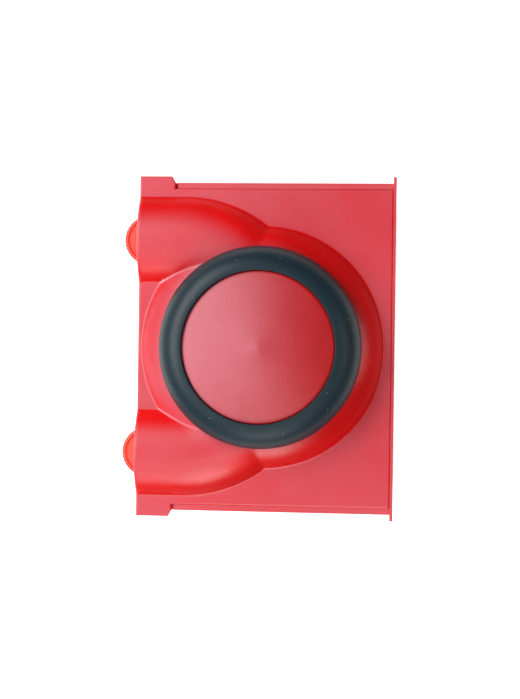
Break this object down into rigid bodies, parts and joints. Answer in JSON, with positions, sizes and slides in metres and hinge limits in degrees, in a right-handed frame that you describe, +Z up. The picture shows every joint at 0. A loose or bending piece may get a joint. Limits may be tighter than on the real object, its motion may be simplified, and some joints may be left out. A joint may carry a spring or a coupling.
{
  "type": "water filled barrier",
  "caption": "Red water filled barrier module with a domed cover, two hoods, a screw-down filler lid in a rubber ring and thumb wheels that work drain valves.",
  "frame": {"origin": "on the ground under the middle of the whole object", "axes": "+Z up, +X towards the end flange, away from the thumb wheels"},
  "size_m": [0.3198, 0.4, 0.3693],
  "materials": {
    "tank_red": "moulded polyethylene, fine grain",
    "cover_red": "moulded polyethylene, satin",
    "lid_red": "moulded polypropylene, fine grain",
    "ring_rubber": "satin slate rubber",
    "soft_rubber": "matt",
    "zinc_steel": "zinc plated",
    "spindle_steel": "turned stainless",
    "valve_brass": "machined",
    "wheel_orange": "moulded, satin",
    "black_nylon": "moulded",
    "white_nylon": "turned",
    "natural_polyethylene": "sheet",
    "grip_grey": "moulded, satin",
    "reflector_amber": "moulded lens, gloss"
  },
  "bodies": {
    "barrier": {"tank_shell": "tank_red", "top_cover": "cover_red", "cover_gasket": "soft_rubber", "end_flange": "tank_red", "flange_screws": "zinc_steel", "flange_inserts": "valve_brass", "filler_neck": "black_nylon", "neck_nut": "black_nylon", "neck_gasket": "soft_rubber", "foot_front_left": "soft_rubber", "foot_front_right": "soft_rubber", "foot_back_left": "soft_rubber", "foot_back_right": "soft_rubber", "foot_screws": "zinc_steel", "valve_body_a": "valve_brass", "valve_body_b": "valve_brass", "valve_gland_a": "valve_brass", "valve_gland_b": "valve_brass", "inlet_nut_a": "valve_brass", "inlet_nut_b": "valve_brass", "spindle_bracket_a": "black_nylon", "spindle_bracket_b": "black_nylon", "spindle_bush_a": "white_nylon", "spindle_bush_b": "white_nylon", "surge_baffle_a": "natural_polyethylene", "surge_baffle_b": "natural_polyethylene", "grip_cup_a": "grip_grey", "grip_cup_b": "grip_grey", "reflector_a": "reflector_amber", "reflector_b": "reflector_amber", "reflector_c": "reflector_amber", "reflector_d": "reflector_amber"},
    "lid_lifter": {"lid_seal": "soft_rubber"},
    "lid_cap": {"lid": "lid_red", "lid_ring": "ring_rubber"},
    "wheel_a": {"thumb_wheel_a": "wheel_orange", "spindle_a": "spindle_steel"},
    "wheel_b": {"thumb_wheel_b": "wheel_orange", "spindle_b": "spindle_steel"},
    "plug_a": {"valve_plug_a": "white_nylon", "plug_seal_a": "soft_rubber"},
    "plug_b": {"valve_plug_b": "white_nylon", "plug_seal_b": "soft_rubber"}
  },
  "joints": [
    {"name": "lid_lift", "type": "slide", "parent": "barrier", "child": "lid_lifter", "axis": [0, 0, 1], "range_m": [0, 0.01205]},
    {"name": "lid_turn", "type": "hinge", "parent": "lid_lifter", "child": "lid_cap", "pos_m": [0.0055, 0, 0.35], "axis": [0, 0, 1], "range_deg": [0, 720]},
    {"name": "wheel_turn_a", "type": "hinge", "parent": "barrier", "child": "wheel_a", "pos_m": [-0.1306, 0.125, 0.287], "axis": [0, 0, 1], "range_deg": [0, 1080]},
    {"name": "plug_lift_a", "type": "slide", "parent": "barrier", "child": "plug_a", "axis": [0, 0, 1], "range_m": [0, 0.01805]},
    {"name": "wheel_turn_b", "type": "hinge", "parent": "barrier", "child": "wheel_b", "pos_m": [-0.1306, -0.125, 0.287], "axis": [0, 0, 1], "range_deg": [0, 1080]},
    {"name": "plug_lift_b", "type": "slide", "parent": "barrier", "child": "plug_b", "axis": [0, 0, 1], "range_m": [0, 0.01805]}
  ],
  "couplings": [
    {"joint": "lid_lift", "follows": "lid_turn", "m_per_rad": 0.00095493},
    {"joint": "plug_lift_a", "follows": "wheel_turn_a", "m_per_rad": 0.00095493},
    {"joint": "plug_lift_b", "follows": "wheel_turn_b", "m_per_rad": 0.00095493}
  ]
}
